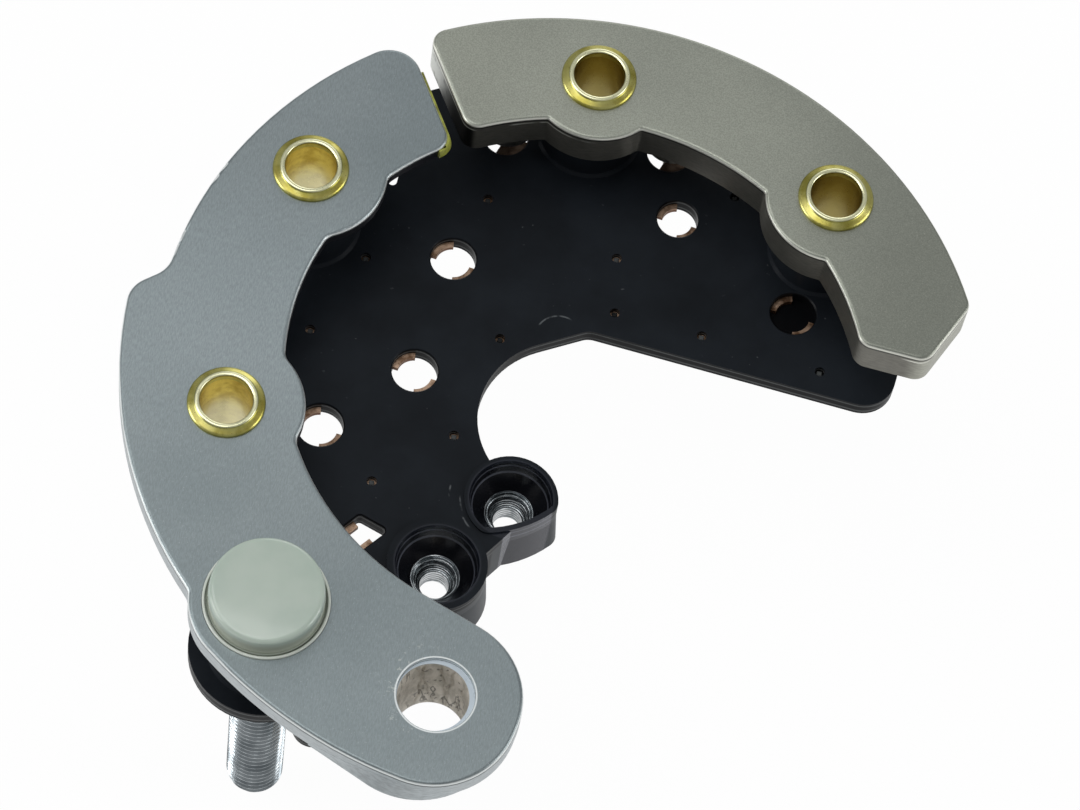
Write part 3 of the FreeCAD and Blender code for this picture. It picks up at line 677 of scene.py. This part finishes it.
def steppedBush(look, name):
    # the mouth narrows in rounded steps of one size, then the bore runs plain
    corners = [(look["outer"], look["low"], 0.0), (look["outer"], look["top"], 0.12),
               (look["mouth"], look["top"], 0.1)]
    for k in range(look["steps"]):
        radius = look["mouth"] - k * look["stepWide"]
        height = look["top"] - (k + 1) * look["stepDeep"]
        corners += [(radius, height, 0.12), (radius - look["stepWide"], height + look["slope"], 0.14)]
    corners += [(look["bore"], look["top"] - (look["steps"] + 0.8) * look["stepDeep"], 0.1),
                (look["bore"], look["low"], 0.0)]
    grid = lathe(mountPlace(name + "_bush_bore"), softCorners(corners, 6), 120)
    piece = gridPiece("stepped_bush_" + name, grid, finishes["zinc_steel"], crease=50.0)
    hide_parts(name + "_well_bush")


for name in ("upper", "lower"):
    steppedBush(bush, name)
print("bushes made")


# Pin stubs in the board's small holes
pinStub = {"half": 0.36, "low": -15.55, "top": -15.0, "round": 0.1,
           "places": [(-15.9, 32.3), (-30.9, 19.5), (3.3, 26.8), (4.4, 18.2), (-36.3, 6.8), (-10.5, 10.9),
                      (-14.1, -5.1), (16.8, 17.2), (33.7, 15.1), (-23.8, -14.2), (18.1, 40.1)]}


def pinStubs(look):
    # a square post with softened corners stands in each hole: radius grows towards the corners
    turns = 32
    angle = np.linspace(0.0, 2 * math.pi, turns, endpoint=False)[:, None]
    square = look["half"] / np.maximum(np.abs(np.cos(angle)), np.abs(np.sin(angle)))
    radius = np.minimum(square, look["half"] * 1.3)
    levels = np.array([[0.0, look["low"]], [1.0, look["low"]], [1.0, look["top"] - look["round"]],
                       [1.0 - look["round"] / look["half"], look["top"]], [0.0, look["top"]]])
    for k, place in enumerate(look["places"]):
        reach = radius * levels[:, 0][None, :]
        x, y = place[0] + reach * np.cos(angle), place[1] + reach * np.sin(angle)
        grid = np.stack([x, y, levels[:, 1][None, :] + 0 * angle], axis=-1)
        gridPiece("pin_stub_%d" % (k + 1), grid, finishes["black_board"], True, False, 30.0)


pinStubs(pinStub)
print("pins stand in their holes")


# Film on the positive plate's end
film = {"gapAngle": 120.0, "offset": 3.3, "start": 50.4, "inner": 38.3, "corner": 2.3, "endAngle": 126.0,
        "top": -0.45, "low": -2.0, "thick": 0.3, "bulge": 0.5, "bulgeLong": 2.2, "straightSteps": 60,
        "bendSteps": 30}


def bulgingFilm(look):
    # a thin strip carried along the end wall, round its inner corner and a little way along the inner wall;
    # it stands off the wall most at the corner
    along = np.array([math.cos(math.radians(look["gapAngle"])), math.sin(math.radians(look["gapAngle"]))])
    aslant = np.array([-along[1], along[0]])
    turn = look["inner"] + look["corner"]
    aside = look["offset"] + look["corner"]
    hub = along * math.sqrt(turn ** 2 - aside ** 2) + aslant * aside
    straight = np.linspace(look["start"], hub @ along, look["straightSteps"])[:, None] * along
    straight = straight + aslant * look["offset"]
    startAngle = math.atan2(-aslant[1], -aslant[0])
    endAngle = math.atan2(-hub[1], -hub[0])
    sweep = (endAngle - startAngle + math.pi) % (2 * math.pi) - math.pi
    bend = startAngle + sweep * np.linspace(0.0, 1.0, look["bendSteps"])[1:, None]
    corner = hub + look["corner"] * np.hstack([np.cos(bend), np.sin(bend)])
    hubDeg = math.degrees(math.atan2(hub[1], hub[0]))
    rest = np.radians(np.linspace(hubDeg, look["endAngle"], 16)[1:, None])
    inner = look["inner"] * np.hstack([np.cos(rest), np.sin(rest)])
    path = np.vstack([straight, corner, inner])
    ahead = np.gradient(path, axis=0)
    ahead /= np.linalg.norm(ahead, axis=1)[:, None]
    outward = np.stack([ahead[:, 1], -ahead[:, 0]], axis=1)
    if (outward[0] @ aslant) > 0:
        outward = -outward
    travel = np.concatenate([[0.0], np.cumsum(np.linalg.norm(np.diff(path, axis=0), axis=1))])
    cornerAt = travel[look["straightSteps"] + look["bendSteps"] // 2]
    swell = look["bulge"] * np.exp(-((travel - cornerAt) / look["bulgeLong"]) ** 2)
    swell = swell + 0.05 * np.sin(travel * 1.7)
    share = np.linspace(0.0, 1.0, 14)[None, :]
    height = look["top"] + (look["low"] - look["top"]) * share
    stand = look["thick"] + swell[:, None] * np.sin(math.pi * share) ** 0.7 * (0.4 + 0.6 * share)
    levels = np.broadcast_to(height[..., None], stand.shape + (1,))
    outer = np.concatenate([path[:, None, :] + outward[:, None, :] * stand[..., None], levels], axis=2)
    wall = np.broadcast_to(path[:, None, :] + outward[:, None, :] * 0.01, stand.shape + (2,))
    back = np.concatenate([wall, levels], axis=2)[:, ::-1]
    grid = np.concatenate([outer, back], axis=1)
    first = np.broadcast_to(grid[:1].mean(axis=1, keepdims=True), grid[:1].shape)
    last = np.broadcast_to(grid[-1:].mean(axis=1, keepdims=True), grid[-1:].shape)
    grid = np.concatenate([first, grid, last], axis=0)
    piece = gridPiece("bulging_film", grid, finishes["olive_film"], False, True, 50.0)
    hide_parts("positive_end_film")


bulgingFilm(film)
print("film laid")


# Stage and light
stage = {"floor": -0.0465, "size": 3.0, "seen": 0.97, "mirrored": 0.36, "pale": (0.86, 0.86, 0.86, 1.0)}


def paleFloor(look):
    half = look["size"]
    mesh = bpy.data.meshes.new("floor")
    corners = [(x, y, look["floor"]) for x, y in ((-half, -half), (half, -half), (half, half), (-half, half))]
    mesh.from_pydata(corners, [], [(0, 1, 2, 3)])
    material = bpy.data.materials.new("paleFloor")
    material.use_nodes = True
    tree = material.node_tree
    tree.nodes.clear()
    diffuse = tree.nodes.new("ShaderNodeBsdfDiffuse")
    diffuse.inputs["Color"].default_value = look["pale"]
    glow = tree.nodes.new("ShaderNodeEmission")
    glow.inputs["Strength"].default_value = 1.0
    path = tree.nodes.new("ShaderNodeLightPath")
    shares = []
    for ray, share in (("Is Camera Ray", look["seen"]), ("Is Glossy Ray", look["mirrored"])):
        scaled = tree.nodes.new("ShaderNodeMath")
        scaled.operation = "MULTIPLY"
        scaled.inputs[1].default_value = share
        tree.links.new(path.outputs[ray], scaled.inputs[0])
        shares.append(scaled)
    share = tree.nodes.new("ShaderNodeMath")
    share.operation = "MAXIMUM"
    for k in range(2):
        tree.links.new(shares[k].outputs[0], share.inputs[k])
    blend = tree.nodes.new("ShaderNodeMixShader")
    tree.links.new(share.outputs[0], blend.inputs[0])
    tree.links.new(diffuse.outputs[0], blend.inputs[1])
    tree.links.new(glow.outputs[0], blend.inputs[2])
    output = tree.nodes.new("ShaderNodeOutputMaterial")
    tree.links.new(blend.outputs[0], output.inputs["Surface"])
    mesh.materials.append(material)
    floor = bpy.data.objects.new("floor", mesh)
    bpy.context.scene.collection.objects.link(floor)


lamps = {"overhead": {"from": (-0.30, 0.05, 0.95), "size": 0.70, "power": 3.4},
         "leftPanel": {"from": (-0.85, -0.15, 0.35), "size": 0.45, "power": 3.0},
         "rightPanel": {"from": (0.85, 0.05, 0.40), "size": 0.45, "power": 2.6},
         "backPanel": {"from": (0.05, 0.95, 0.45), "size": 0.50, "power": 1.6}}
lampsFace = (0.005, 0.045, 0.0)
sky = {"strength": 0.34, "colour": (0.95, 0.98, 1.0, 1.0)}


def softLamps(look):
    for name, lamp in look.items():
        light = bpy.data.lights.new(name, "AREA")
        light.shape = "SQUARE"
        light.size = lamp["size"]
        light.energy = lamp["power"]
        holder = bpy.data.objects.new(name, light)
        away = np.array(lamp["from"]) - np.array(lampsFace)
        away /= np.linalg.norm(away)
        side = np.cross((0.0, 0.0, 1.0), away)
        side /= np.linalg.norm(side)
        holder.matrix_world = Matrix.Translation(lamp["from"]) @ turnTo(side, np.cross(away, side), away)
        bpy.context.scene.collection.objects.link(holder)


def paleSky(look):
    world = bpy.data.worlds.new("studio")
    world.use_nodes = True
    background = world.node_tree.nodes["Background"]
    background.inputs["Color"].default_value = look["colour"]
    background.inputs["Strength"].default_value = look["strength"]
    bpy.context.scene.world = world


paleFloor(stage)
softLamps(lamps)
paleSky(sky)
bpy.context.scene.view_settings.view_transform = "Standard"
print("stage lit")
